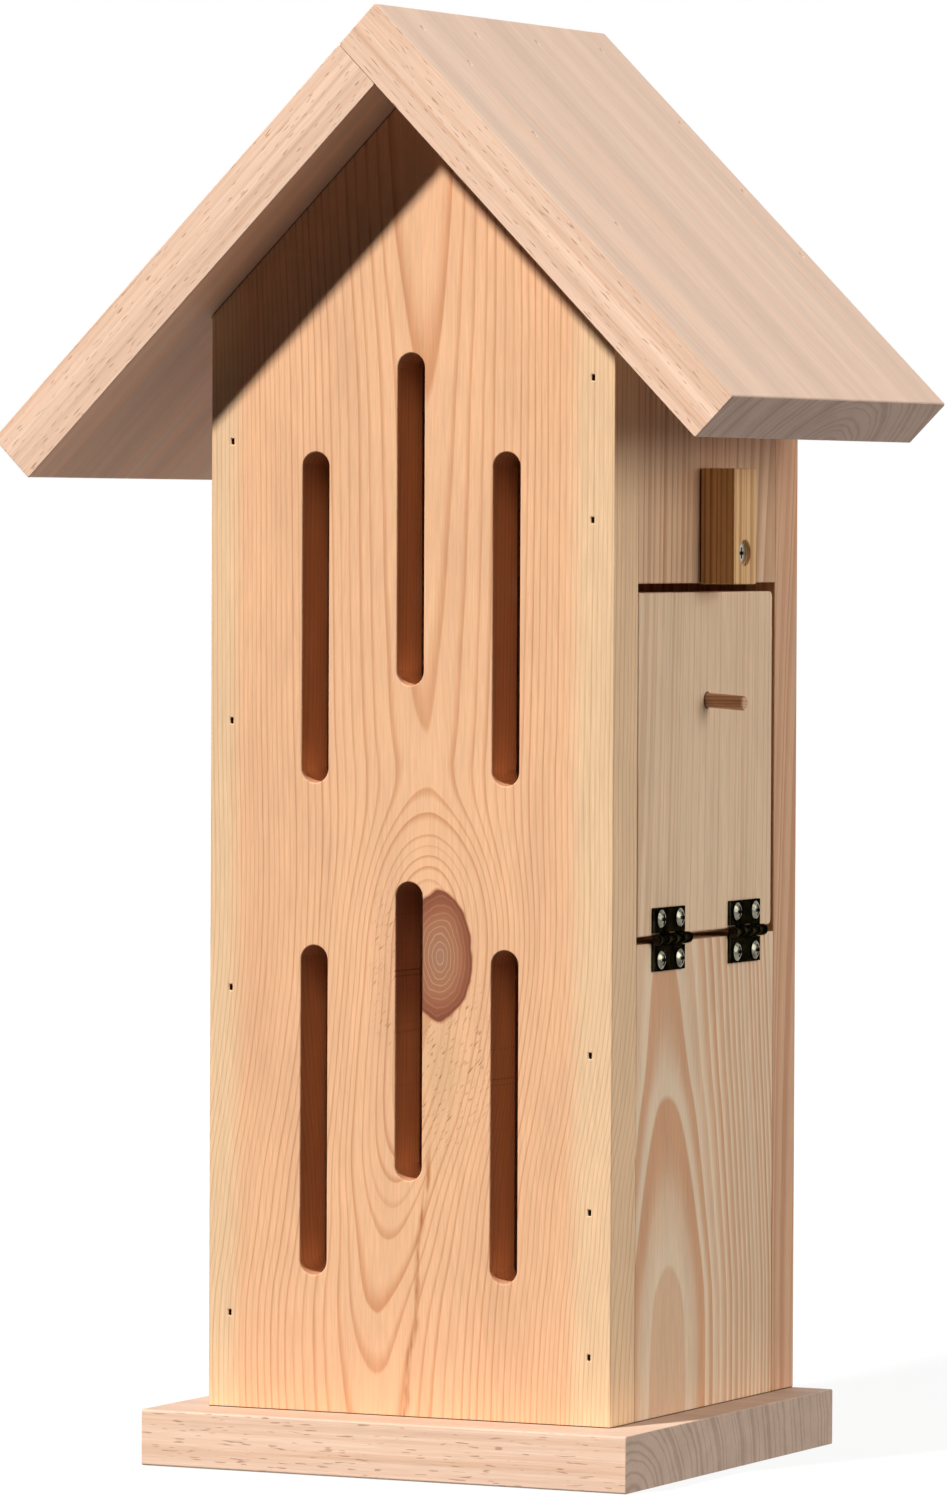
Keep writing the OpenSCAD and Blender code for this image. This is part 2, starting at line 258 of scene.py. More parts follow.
class Grain(Enum):
    """How a board lies: its axes across the width, into its thickness and along the grain."""

    UPRIGHT_FRONT = ((1, 0, 0), (0, 1, 0), (0, 0, 1))
    UPRIGHT_SIDE = ((0, 1, 0), (-1, 0, 0), (0, 0, 1))
    LEVEL = ((0, 1, 0), (0, 0, 1), (1, 0, 0))
    RIGHT_SLOPE = ((0, 1, 0), (1, 0, 1), (1, 0, -1))
    LEFT_SLOPE = ((0, 1, 0), (1, 0, -1), (-1, 0, -1))

    def turn(self) -> Point:
        """Returns the Euler angles that turn a Mapping node into the board's own frame."""
        columns = [Vector(axis).normalized() for axis in self.value]
        return tuple(Matrix(columns).transposed().to_euler())


@dataclass(frozen=True)
class Oval:
    """An oval in a board's face: its middle, across and along the board, and half sizes, in mm."""

    across: float
    along: float
    half_w: float
    half_l: float

    def distance(self, sh: Shader, w: Socket, l: Socket) -> Socket:
        """Measures from the oval's middle.

        Args:
            sh: the material being made.
            w: the place across, in mm.
            l: the place along, in mm.

        Returns:
            The squared distance, where 1 is the rim.
        """
        x = sh.add("Math", [w, -self.across], operation="ADD")
        x = sh.add("Math", [x, 1 / self.half_w], operation="MULTIPLY")
        y = sh.add("Math", [l, -self.along], operation="ADD")
        y = sh.add("Math", [y, 1 / self.half_l], operation="MULTIPLY")
        y = sh.add("Math", [y, y], operation="MULTIPLY")
        return sh.add("Math", [x, x, y], operation="MULTIPLY_ADD")

    def spot(self, sh: Shader, w: Socket, l: Socket) -> Socket:
        """Makes a soft spot.

        Args:
            sh: the material being made.
            w: the place across, in mm.
            l: the place along, in mm.

        Returns:
            1 in the oval's middle, fading over its half sizes.
        """
        far = sh.add("Math", [self.distance(sh, w, l), -1.0], operation="MULTIPLY")
        return sh.add("Math", [far], operation="EXPONENT")


@dataclass(frozen=True)
class ResinSeam:
    """A thin seam of resin that leans and sways along the grain, below a height, in mm."""

    # Its place across at height 0, how far it leans for each mm up, and how far it sways.
    across: float
    lean: float
    sway: float
    half_w: float
    # It fades in from the first height down to the second.
    below: Span
    colour: str = "b5713f"
    # How often it sways along the grain, in waves per mm, and how short its gaps are.
    sways: float = 0.03
    gaps: float = 0.12

    def over(self, sh: Shader, wood: Socket, w: Socket, l: Socket) -> Socket:
        """Paints the seam.

        Args:
            sh: the material being made.
            wood: the colour so far.
            w: the place across, in mm.
            l: the place along, in mm.

        Returns:
            The colour with the seam in it.
        """
        wave = sh.add("Math", [l, self.sways], operation="MULTIPLY")
        wave = sh.add("TexNoise", {"W": wave, "Scale": 1.0, "Detail": 2.0}, noise_dimensions="1D")
        middle = sh.add("Math", [l, self.lean, self.across], operation="MULTIPLY_ADD")
        middle = sh.add("Math", [wave, self.sway, middle], operation="MULTIPLY_ADD")
        off = sh.add("Math", [w, middle], operation="SUBTRACT")
        off = sh.add("Math", [off], operation="ABSOLUTE")
        seam = sh.add("MapRange", {"Value": off, "From Min": self.half_w, "From Max": 0.0},
                      interpolation_type="SMOOTHSTEP")
        drawn_out = sh.add("Math", [l, self.gaps], operation="MULTIPLY")
        patchy = sh.add("CombineXYZ", [w, 0.0, drawn_out])
        patchy = sh.add("TexNoise", {"Vector": patchy, "Scale": 0.7, "Detail": 2.0})
        patchy = sh.add("MapRange", {"Value": patchy, "From Min": 0.35, "From Max": 0.65})
        start, full = self.below
        below = sh.add("MapRange", {"Value": l, "From Min": start, "From Max": full})
        seam = sh.add("Math", [seam, below], operation="MULTIPLY")
        seam = sh.add("Math", [seam, patchy], operation="MULTIPLY")
        return sh.add("Mix", {SHARE: seam, UNDER: wood, OVER: linear(self.colour)}, **COLOURS)


@dataclass(frozen=True)
class Knot:
    """A cut branch in a board's face: reddish brown with pale rings, in wood that swirls and tears."""

    rim: Oval
    # The rings swirl within this oval, whose middle is measured from the heart's line and from the
    # knot's height. Below the knot they swirl over this length instead.
    swirl: Oval
    swirl_down: float
    # How much the knot takes off the squared distance from the heart.
    hollow: float
    # A greyish patch, the two places where the planer tore the fibres, and the resin seam.
    grey: Oval
    torn: tuple[Oval, Oval]
    seam: ResinSeam
    # Tones from the greyish middle out to the dark rim, and the pale ring lines and their number.
    tones: tuple[tuple[float, str], ...] = ((0.0, "a77a60"), (0.3, "a97455"), (0.55, "a96f50"),
                                            (0.8, "985a3f"), (0.96, "854a32"), (1.0, "b5734e"))
    ring_line: str = "cfa587"
    ring_count: float = 9.0
    # The patch's and the tears' colours, with how much they hide.
    grey_tone: str = "d3ae80"
    grey_share: float = 0.5
    tear_tone: str = "8f5f3f"
    tear_share: float = 0.7
    # The tears' lean in degrees and size in mm. They are a little wider than real ones, to show.
    tear_lean: float = -48.0
    tear_size: Point = (3.6, 1.0, 0.62)

    def pull(self, sh: Shader, across: Socket, l: Socket) -> Socket:
        """Finds how far the rings are drawn round the knot.

        Args:
            sh: the material being made.
            across: the place across the board from the heart's line, in mm.
            l: the place along, in mm.

        Returns:
            1 at the swirl's middle, and 0 where the rings run straight.
        """
        high = sh.add("Math", [l, self.rim.along], operation="SUBTRACT")
        low = sh.add("Math", [high, self.swirl.half_l / self.swirl_down], operation="MULTIPLY")
        high = sh.add("Math", [high, low], operation="MAXIMUM")
        far = self.swirl.distance(sh, across, high)
        far = sh.add("Math", [far, far], operation="MULTIPLY")
        far = sh.add("Math", [far, -1.0], operation="MULTIPLY")
        return sh.add("Math", [far], operation="EXPONENT")

    def tear(self, sh: Shader, wood: Socket, w: Socket, l: Socket) -> tuple[Socket, Socket]:
        """Adds the greyish patch, short tears in the steep grain round the knot, and the resin seam.

        Args:
            sh: the material being made.
            wood: the colour so far.
            w: the place across, in mm.
            l: the place along, in mm.

        Returns:
            The new colour, and how torn the surface is, from 0 to 1.
        """
        grey = sh.add("Math", [self.grey.spot(sh, w, l), self.grey_share], operation="MULTIPLY")
        wood = sh.add("Mix", {SHARE: grey, UNDER: wood, OVER: linear(self.grey_tone)}, **COLOURS)
        near = sh.add("Math", [oval.spot(sh, w, l) for oval in self.torn], operation="MAXIMUM")
        near = sh.add("MapRange", {"Value": near, "From Min": 0.12, "From Max": 0.6})
        place = sh.add("CombineXYZ", [w, 0.0, l])
        place = sh.add("Mapping", {"Vector": place, "Rotation": (0, math.radians(self.tear_lean), 0),
                                   "Scale": self.tear_size}, vector_type="TEXTURE")
        torn = sh.add("TexNoise", {"Vector": place, "Scale": 1.0, "Detail": 1.0})
        torn = sh.add("MapRange", {"Value": torn, "From Min": 0.62, "From Max": 0.72})
        torn = sh.add("Math", [torn, near], operation="MULTIPLY")
        share = sh.add("Math", [torn, self.tear_share], operation="MULTIPLY")
        wood = sh.add("Mix", {SHARE: share, UNDER: wood, OVER: linear(self.tear_tone)}, **COLOURS)
        return self.seam.over(sh, wood, w, l), torn

    def over(self, sh: Shader, wood: Socket, w: Socket, l: Socket) -> Socket:
        """Paints the knot itself.

        Args:
            sh: the material being made.
            wood: the colour round the knot.
            w: the place across, in mm.
            l: the place along, in mm.

        Returns:
            The colour with the knot in it.
        """
        place = sh.add("CombineXYZ", [w, 0.0, l])
        ragged = sh.add("TexNoise", {"Vector": place, "Scale": 0.12, "Detail": 1.0})
        ragged = sh.add("MapRange", {"Value": ragged, "To Min": 0.9, "To Max": 1.1})
        radius = sh.add("Math", [self.rim.distance(sh, w, l)], operation="SQRT")
        radius = sh.add("Math", [radius, ragged], operation="MULTIPLY")
        uneven = sh.add("TexNoise", {"Vector": place, "Scale": 0.22, "Detail": 2.0})
        rings = sh.add("Math", [radius, self.ring_count, uneven], operation="MULTIPLY_ADD")
        rings = sh.add("Math", [rings, 0.5], operation="PINGPONG")
        rings = sh.add("MapRange", {"Value": rings, "From Min": 0.34, "From Max": 0.48})
        faint = sh.add("MapRange", {"Value": radius, "From Min": 0.35, "From Max": 0.85,
                                    "To Min": 0.55, "To Max": 0.15})
        rings = sh.add("Math", [rings, faint], operation="MULTIPLY")
        ground = sh.add("ValToRGB", [radius], stops=self.tones)
        branch = sh.add("Mix", {SHARE: rings, UNDER: ground, OVER: linear(self.ring_line)}, **COLOURS)
        inside = sh.add("MapRange", {"Value": radius, "From Min": 1.02, "From Max": 0.96})
        return sh.add("Mix", {SHARE: inside, UNDER: wood, OVER: branch}, **COLOURS)


@dataclass(frozen=True)
class Pine:
    """Planed pine, oiled matt: sharp brown latewood lines on a warm pale ground.

    The rings are those of a log whose heart runs behind the board, so they lie as a saw cuts them.
    Its fibres are finer than the render shows and are drawn 0.7 mm wide.
    """

    name: str
    grain: Grain
    # The shown face's place through the board, and behind it the heart's depth and its place across
    # the board, both given at places along the grain. All are in mm.
    face: float
    depths: Profile
    heart: Profile = ((0.0, 0.0), (470.0, 0.0))
    # The width of a ring in mm, or else each ring's radius, and how many rings the count strays.
    ring: float = 1.45
    rings: tuple[float, ...] = ()
    wander: float = 2.4
    # Where in a ring its dark line starts and where it is full, and how far it strays, in mm.
    latewood: Span = (0.4, 0.86)
    wobble: float = 1.0
    early: str = "f2bd92"
    late: str = "d8986c"
    # Where the heartwood lies across the board. Outside it is paler sapwood, past a soft edge.
    heartwood: Span | None = None
    sap_edge: float = 3.0
    sap_early: str = "f0c99f"
    sap_late: str = "d9ac7d"
    knot: Knot | None = None
    # Routed slots lie within this distance of the board's middle, past a soft edge. Their walls darken
    # between these depths, by this share: painted shade for the dim slots, and the darker oiled end
    # grain.
    slots_within: float | None = None
    slots_edge: float = 1.0
    wall_depths: Span = (0.2, 1.2)
    wall_share: float = 0.42
    wall: str = "b57a56"
    # Waves per mm across, through and along the board, and per mm of a ring's radius.
    drift: Point = (0.03, 0.03, 0.006)
    fibres: Point = (1.5, 1.5, 0.07)
    strays: float = 0.21
    # How dark and how light fibres and blotches are.
    fibre_tones: Span = (0.9, 1.07)
    blotch_tones: Span = (0.95, 1.04)
    # How far the dark lines stand up and the tears lie below, beside the fibres' own relief.
    line_height: float = 0.6
    tear_height: float = -2.5
    bump: float = 0.35
    roughness: float = 0.6
    gloss: float = 0.2

    def material(self) -> bpy.types.Material:
        """Builds the node material.

        Returns:
            The finished material.
        """
        sh = Shader(bpy.data.materials.new(self.name))
        coords = sh.add("TexCoord", out=None)["Object"]
        turn = self.grain.turn()
        place = sh.add("Mapping", {"Vector": coords, "Rotation": turn, "Scale": (MM, MM, MM)},
                       vector_type="TEXTURE")
        slow = sh.add("VectorMath", [place, self.drift], operation="MULTIPLY")
        place = self._strayed(sh, place, slow)
        w, n, l = sh.add("SeparateXYZ", [place], out=None)
        line = self._latewood_line(sh, self._ring_distance(sh, w, n, l))
        wood = self._ground(sh, line, w)
        # The slot walls get painted shade, along with their darker oiled end grain.
        if self.slots_within:
            wood = self._routed_walls(sh, wood, w, n)
        fine = sh.add("VectorMath", [place, self.fibres], operation="MULTIPLY")
        fibre = sh.add("TexNoise", {"Vector": fine, "Scale": 1.0, "Detail": 4.0, "Roughness": 0.6})
        wood = sh.add("VectorMath", [wood, self._tone(sh, fibre, slow)], operation="MULTIPLY")
        relief = sh.add("Math", [line, self.line_height, fibre], operation="MULTIPLY_ADD")
        if self.knot:
            wood, torn = self.knot.tear(sh, wood, w, l)
            relief = sh.add("Math", [torn, self.tear_height, relief], operation="MULTIPLY_ADD")
            wood = self.knot.over(sh, wood, w, l)
        # Painted shade in brad holes and tight joints.
        wood = WOOD_PAINTED_SHADE.over(sh, wood)
        normal = sh.add("Bump", {"Strength": self.bump, "Distance": WOOD_RELIEF * MM, "Height": relief})
        return sh.finish(Base_Color=wood, Roughness=self.roughness, Specular_IOR_Level=self.gloss,
                         Normal=normal)

    def _strayed(self, sh: Shader, place: Socket, slow: Socket) -> Socket:
        """Moves a place a little across the grain, as growth does.

        Args:
            sh: the material being made.
            place: the place in the board's own frame, in mm.
            slow: the same place in waves of the drift.

        Returns:
            The moved place, in mm.
        """
        drift = sh.add("TexNoise", {"Vector": slow, "Scale": 1.0, "Detail": 2.0}, out="Color")
        drift = sh.add("VectorMath", [drift, (0.5, 0.5, 0.5)], operation="SUBTRACT")
        push = sh.add("VectorMath", [drift, (2 * self.wobble, 2 * self.wobble, 0)], operation="MULTIPLY")
        return sh.add("VectorMath", [place, push], operation="ADD")

    def _ring_distance(self, sh: Shader, w: Socket, n: Socket, l: Socket) -> Socket:
        """Finds how far a place is from the log's heart. A knot takes some off, so rings swirl round it.

        Args:
            sh: the material being made.
            w: the place across, in mm.
            n: the place through, in mm.
            l: the place along, in mm.

        Returns:
            The distance in mm.
        """
        across = sh.add("Math", [w, sh.follow(l, self.heart, -HEART_REACH, HEART_REACH)],
                        operation="SUBTRACT")
        inside = sh.add("Math", [n, self.face], operation="SUBTRACT")
        inside = sh.add("Math", [inside], operation="ABSOLUTE")
        depth = sh.add("Math", [sh.follow(l, self.depths, 0, HEART_DEPTH), inside], operation="ADD")
        square = sh.add("Math", [across, across], operation="MULTIPLY")
        square = sh.add("Math", [depth, depth, square], operation="MULTIPLY_ADD")
        if self.knot:
            pull = self.knot.pull(sh, across, l)
            square = sh.add("Math", [pull, -self.knot.hollow, square], operation="MULTIPLY_ADD")
        square = sh.add("Math", [square, 0.0], operation="MAXIMUM")
        return sh.add("Math", [square], operation="SQRT")

    def _latewood_line(self, sh: Shader, distance: Socket) -> Socket:
        """Draws each ring's dark line, which rises slowly and ends sharply, some lines fainter.

        Args:
            sh: the material being made.
            distance: how far the place is from the log's heart, in mm.

        Returns:
            How dark the line is, from 0 to 1.
        """
        stray = sh.add("Math", [distance, self.strays], operation="MULTIPLY")
        stray = sh.add("TexNoise", {"W": stray, "Scale": 1.0, "Detail": 1.0}, noise_dimensions="1D")
        if self.rings:
            radii = [(radius, number) for number, radius in enumerate(self.rings)]
            count = sh.follow(distance, radii, 0, len(self.rings))
        else:
            count = sh.add("Math", [distance, 1 / self.ring], operation="MULTIPLY")
        count = sh.add("Math", [stray, self.wander, count], operation="MULTIPLY_ADD")
        share = sh.add("Math", [count], operation="FRACT")
        number = sh.add("Math", [count], operation="FLOOR")
        strength = sh.add("TexWhiteNoise", {"W": number}, noise_dimensions="1D")
        strength = sh.add("MapRange", {"Value": strength, "To Min": 0.45, "To Max": 1.0})
        start, full = self.latewood
        rise = sh.add("MapRange", {"Value": share, "From Min": start, "From Max": full},
                      interpolation_type="SMOOTHSTEP")
        fall = sh.add("MapRange", {"Value": share, "From Min": 1.0, "From Max": 0.95})
        line = sh.add("Math", [rise, fall], operation="MULTIPLY")
        return sh.add("Math", [line, strength], operation="MULTIPLY")

    def _ground(self, sh: Shader, line: Socket, w: Socket) -> Socket:
        """Colours the rings, with paler sapwood outside the heartwood.

        Args:
            sh: the material being made.
            line: how dark the ring's line is, from 0 to 1.
            w: the place across, in mm.

        Returns:
            The wood's colour.
        """
        wood = sh.add("Mix", {SHARE: line, UNDER: linear(self.early), OVER: linear(self.late)},
                      **COLOURS)
        if not self.heartwood:
            return wood
        left, right = self.heartwood
        half = (right - left) / 2
        out = sh.add("Math", [w, (left + right) / 2], operation="SUBTRACT")
        out = sh.add("Math", [out], operation="ABSOLUTE")
        edge = sh.add("MapRange", {"Value": out, "From Min": half - self.sap_edge,
                                   "From Max": half + self.sap_edge})
        sap = sh.add("Mix", {SHARE: line, UNDER: linear(self.sap_early), OVER: linear(self.sap_late)},
                     **COLOURS)
        return sh.add("Mix", {SHARE: edge, UNDER: wood, OVER: sap}, **COLOURS)

    def _routed_walls(self, sh: Shader, wood: Socket, w: Socket, n: Socket) -> Socket:
        """Darkens the walls of the routed slots with painted shade for the dim slots, and for their torn
        end grain, which drinks more oil.

        Args:
            sh: the material being made.
            wood: the planed face's colour.
            w: the place across, in mm.
            n: the place through, in mm.

        Returns:
            The colour with the walls in it.
        """
        start, full = self.wall_depths
        deep = sh.add("Math", [n, self.face], operation="SUBTRACT")
        deep = sh.add("Math", [deep], operation="ABSOLUTE")
        deep = sh.add("MapRange", {"Value": deep, "From Min": start, "From Max": full,
                                   "To Max": self.wall_share})
        out = sh.add("Math", [w], operation="ABSOLUTE")
        inner = sh.add("MapRange", {"Value": out, "From Min": self.slots_within + self.slots_edge,
                                    "From Max": self.slots_within})
        walls = sh.add("Math", [deep, inner], operation="MULTIPLY")
        return sh.add("Mix", {SHARE: walls, UNDER: wood, OVER: linear(self.wall)}, **COLOURS)

    def _tone(self, sh: Shader, fibre: Socket, slow: Socket) -> Socket:
        """Makes fibres and wide blotches lighter and darker.

        Args:
            sh: the material being made.
            fibre: the fibres' noise.
            slow: the place in waves of the drift.

        Returns:
            What the colour is multiplied by.
        """
        blotch = sh.add("TexNoise", {"Vector": slow, "Scale": 2.5, "Detail": 2.0})
        tones = [sh.add("MapRange", {"Value": noise, "From Min": NOISE_LOW, "From Max": NOISE_HIGH,
                                     "To Min": dark, "To Max": light})
                 for noise, (dark, light) in ((fibre, self.fibre_tones), (blotch, self.blotch_tones))]
        return sh.add("Math", tones, operation="MULTIPLY")


@dataclass(frozen=True)
class Beech:
    """Planed steamed beech: pinkish, with short dark flecks along the grain and grey sawn ends, whose
    grey holds painted shade.

    Its flecks and fibres are finer than the render shows and are drawn about 0.5 mm wide.
    """

    name: str
    grain: Grain
    # The pith's place in the plane of a sawn end, in mm.
    pith: Span
    ground: str = "fbd6bb"
    stripe: str = "e6ba9b"
    # The ground on the wide faces, which were cut along the rings.
    flat: str = "d9bfab"
    # The sawn ends' ground and ring lines, in greys that hold painted shade for ends turned from the
    # light. The base gives paler ones.
    end: str = "b39786"
    end_line: str = "907466"
    fleck: str = "a5755a"
    # Waves per mm across, through and along the board.
    bands: Point = (0.35, 0.5, 0.006)
    flecks: Point = (1.7, 1.7, 0.2)
    fibres: Point = (2.2, 2.2, 0.08)
    broad: Point = (0.07, 0.07, 0.0015)
    # A sawn end's rings per mm of radius, how far they waver in mm, and how far their count strays,
    # in rings, and how often, per mm.
    end_rings: float = 0.23
    end_waver: float = 5.0
    end_wander: float = 2.0
    end_strays: float = 0.17
    # How dark and how light fibres and broad bands are.
    fibre_tones: Span = (0.94, 1.05)
    broad_tones: Span = (0.9, 1.06)
    # How far the flecks lie below, beside the fibres' own relief.
    fleck_height: float = -0.8
    bump: float = 0.3
    roughness: float = 0.62
    gloss: float = 0.25

    def material(self) -> bpy.types.Material:
        """Builds the node material.

        Returns:
            The finished material.
        """
        sh = Shader(bpy.data.materials.new(self.name))
        outs = sh.add("TexCoord", out=None)
        turn = self.grain.turn()
        place = sh.add("Mapping", {"Vector": outs["Object"], "Rotation": turn, "Scale": (MM, MM, MM)},
                       vector_type="TEXTURE")
        facing = sh.add("Mapping", {"Vector": outs["Normal"], "Rotation": turn}, vector_type="TEXTURE")
        facing = sh.add("VectorMath", [facing], operation="ABSOLUTE")
        _, on_face, on_end = sh.add("SeparateXYZ", [facing], out=None)
        wood, fleck = self._planed(sh, place, on_face)
        # Sawn ends take the end greys, which hold painted shade.
        at_end = sh.add("MapRange", {"Value": on_end, "From Min": 0.6, "From Max": 0.85})
        wood = sh.add("Mix", {SHARE: at_end, UNDER: wood, OVER: self._end_grain(sh, place)}, **COLOURS)
        fine = sh.add("VectorMath", [place, self.fibres], operation="MULTIPLY")
        fibre = sh.add("TexNoise", {"Vector": fine, "Scale": 1.0, "Detail": 3.0})
        wood = sh.add("VectorMath", [wood, self._tone(sh, place, fibre)], operation="MULTIPLY")
        # Painted shade in brad holes and tight joints.
        wood = WOOD_PAINTED_SHADE.over(sh, wood)
        relief = sh.add("Math", [fleck, self.fleck_height, fibre], operation="MULTIPLY_ADD")
        normal = sh.add("Bump", {"Strength": self.bump, "Distance": WOOD_RELIEF * MM, "Height": relief})
        return sh.finish(Base_Color=wood, Roughness=self.roughness, Specular_IOR_Level=self.gloss,
                         Normal=normal)

    def _planed(self, sh: Shader, place: Socket, on_face: Socket) -> tuple[Socket, Socket]:
        """Draws the planed sides, striped on the narrow ones and plainer on the wide ones.

        Args:
            sh: the material being made.
            place: the place in the board's own frame, in mm.
            on_face: how far the surface faces through the board's thickness, from 0 to 1.

        Returns:
            The colour, and where the flecks are, from 0 to 1.
        """
        band = sh.add("VectorMath", [place, self.bands], operation="MULTIPLY")
        band = sh.add("TexNoise", {"Vector": band, "Scale": 1.0, "Detail": 4.0, "Roughness": 0.6})
        band = sh.add("MapRange", {"Value": band, "From Min": 0.35, "From Max": 0.68})
        side = sh.add("Mix", {SHARE: band, UNDER: linear(self.ground), OVER: linear(self.stripe)},
                      **COLOURS)
        plain = sh.add("Math", [band, 0.7], operation="MULTIPLY")
        top = sh.add("Mix", {SHARE: plain, UNDER: linear(self.flat), OVER: linear(self.stripe)},
                     **COLOURS)
        flat = sh.add("MapRange", {"Value": on_face, "From Min": 0.4, "From Max": 0.8})
        wood = sh.add("Mix", {SHARE: flat, UNDER: side, OVER: top}, **COLOURS)
        fleck = sh.add("VectorMath", [place, self.flecks], operation="MULTIPLY")
        fleck = sh.add("TexNoise", {"Vector": fleck, "Scale": 1.0, "Detail": 0.0})
        fleck = sh.add("MapRange", {"Value": fleck, "From Min": 0.71, "From Max": 0.77})
        weight = sh.add("MapRange", {"Value": flat, "To Min": 0.6, "To Max": 0.12})
        share = sh.add("Math", [fleck, weight], operation="MULTIPLY")
        wood = sh.add("Mix", {SHARE: share, UNDER: wood, OVER: linear(self.fleck)}, **COLOURS)
        return wood, fleck

    def _end_grain(self, sh: Shader, place: Socket) -> Socket:
        """Draws curved growth rings across a sawn end.

        Args:
            sh: the material being made.
            place: the place in the board's own frame, in mm.

        Returns:
            The sawn end's colour.
        """
        w, n, _ = sh.add("SeparateXYZ", [place], out=None)
        far = sh.add("Math", [Oval(*self.pith, 1.0, 0.8).distance(sh, w, n)], operation="SQRT")
        waver = sh.add("TexNoise", {"Vector": place, "Scale": 0.06, "Detail": 2.0})
        far = sh.add("Math", [waver, self.end_waver, far], operation="MULTIPLY_ADD")
        loose = sh.add("TexNoise", {"W": far, "Scale": self.end_strays, "Detail": 1.0},
                       noise_dimensions="1D")
        loose = sh.add("Math", [loose, self.end_wander], operation="MULTIPLY")
        count = sh.add("Math", [far, self.end_rings, loose], operation="MULTIPLY_ADD")
        line = sh.add("Math", [count, 0.5], operation="PINGPONG")
        line = sh.add("MapRange", {"Value": line, "From Min": 0.22, "From Max": 0.5, "To Max": 0.6},
                      interpolation_type="SMOOTHSTEP")
        return sh.add("Mix", {SHARE: line, UNDER: linear(self.end), OVER: linear(self.end_line)},
                      **COLOURS)

    def _tone(self, sh: Shader, place: Socket, fibre: Socket) -> Socket:
        """Makes fibres and broad bands lighter and darker.

        Args:
            sh: the material being made.
            place: the place in the board's own frame, in mm.
            fibre: the fibres' noise.

        Returns:
            What the colour is multiplied by.
        """
        dark, light = self.fibre_tones
        tone = sh.add("MapRange", {"Value": fibre, "From Min": NOISE_LOW, "From Max": NOISE_HIGH,
                                   "To Min": dark, "To Max": light})
        broad = sh.add("VectorMath", [place, self.broad], operation="MULTIPLY")
        broad = sh.add("TexNoise", {"Vector": broad, "Scale": 1.0, "Detail": 4.0, "Roughness": 0.7})
        dark, light = self.broad_tones
        broad = sh.add("MapRange", {"Value": broad, "From Min": 0.35, "From Max": 0.65,
                                    "To Min": dark, "To Max": light})
        return sh.add("Math", [tone, broad], operation="MULTIPLY")


@dataclass(frozen=True)
class Metal:
    """Plated or drawn steel, with painted shade in its corners and smears that break up its gleam.

    Smears as fine as real ones wouldn't show, so they are drawn about 3 mm wide.
    """

    name: str
    colour: str
    stain: str
    roughness: float
    # The tint of what it reflects at a grazing angle.
    edge: str = "ffffff"
    smears_per_mm: float = 0.35
    # How smooth and how dull the smears make it, as shares of its roughness.
    polish: Span = (0.75, 1.4)
    bump: float = 0.15

    def material(self) -> bpy.types.Material:
        """Builds the node material.

        Returns:
            The finished material.
        """
        sh = Shader(bpy.data.materials.new(self.name))
        coords = sh.add("TexCoord", out=None)["Object"]
        smear = sh.add("TexNoise", {"Vector": coords, "Scale": self.smears_per_mm / MM, "Detail": 4.0})
        share = sh.add("MapRange", {"Value": smear, "From Min": 0.4, "From Max": 0.7})
        colour = sh.add("Mix", {SHARE: share, UNDER: linear(self.colour), OVER: linear(self.stain)},
                        **COLOURS)
        # Painted shade in corners and in the screws' crosses.
        colour = METAL_PAINTED_SHADE.over(sh, colour)
        smooth, dull = self.polish
        rough = sh.add("MapRange", {"Value": smear, "To Min": self.roughness * smooth,
                                    "To Max": self.roughness * dull})
        normal = sh.add("Bump", {"Strength": self.bump, "Distance": METAL_RELIEF * MM, "Height": smear})
        return sh.finish(Base_Color=colour, Metallic=1.0, Roughness=rough,
                         Specular_Tint=linear(self.edge), Normal=normal)


# The front panel's knot, right of the lower middle slot, with everything round it.
FRONT_KNOT = Knot(
    rim=Oval(11.5, 173.5, 12.5, 22.0), swirl=Oval(2.5, 0.0, 34.0, 43.6), swirl_down=100.0, hollow=860.0,
    grey=Oval(12.5, 136.5, 7.0, 22.0), torn=(Oval(14.5, 139.5, 17.0, 30.0), Oval(-8.5, 168.5, 5.0, 27.0)),
    seam=ResinSeam(across=-8.0, lean=0.11, sway=9.0, half_w=1.8, below=(118.5, 98.5)))

# The front panel: evenly ringed pine that swirls round its knot, with pale sapwood at its edges.
FRONT_PINE = Pine(
    "oiled_pine_front", Grain.UPRIGHT_FRONT, face=-65.0,
    depths=((0, 31.5), (30, 29.8), (54.3, 29), (74.8, 29.6), (87.5, 30.3), (120, 30.3), (174, 30.1),
            (236, 30.2), (246, 29.6), (267, 28.9), (330, 27.6), (365, 26.9), (375, 26.6), (425, 24.7),
            (470, 23.5)),
    heart=((0, -12), (54.3, -11.6), (74.8, -8.8), (100, -6), (125, -1), (150, 3), (174, 5.5), (244, 5.6),
           (375, 5), (425, 3.5), (470, 3)),
    rings=(0, 10.5, 13.4, 16.1, 18.7, 21.2, 23.7, 27.6, 30, 32.8, 35.5, 38.1, 40.6, 43, 45.3, 47.5, 49.6,
           51.7, 53.7, 55.7, 57.6, 59.5, 61.3, 63.1, 64.8, 66.5, 68.2, 69.8, 71.4,
           *(73 + 1.5 * step for step in range(20))),
    wander=0.35, latewood=(0.6, 0.94), heartwood=(-65.0, 61.0), knot=FRONT_KNOT, slots_within=60.0)

# The back panel: plainer and browner, with wider rings.
BACK_PINE = Pine(
    "oiled_pine_back", Grain.UPRIGHT_FRONT, face=85.0, depths=((0, 30), (200, 24), (470, 33)),
    heart=((0, 10), (470, -4)), ring=2.2, early="dbab86", late="c48a64")

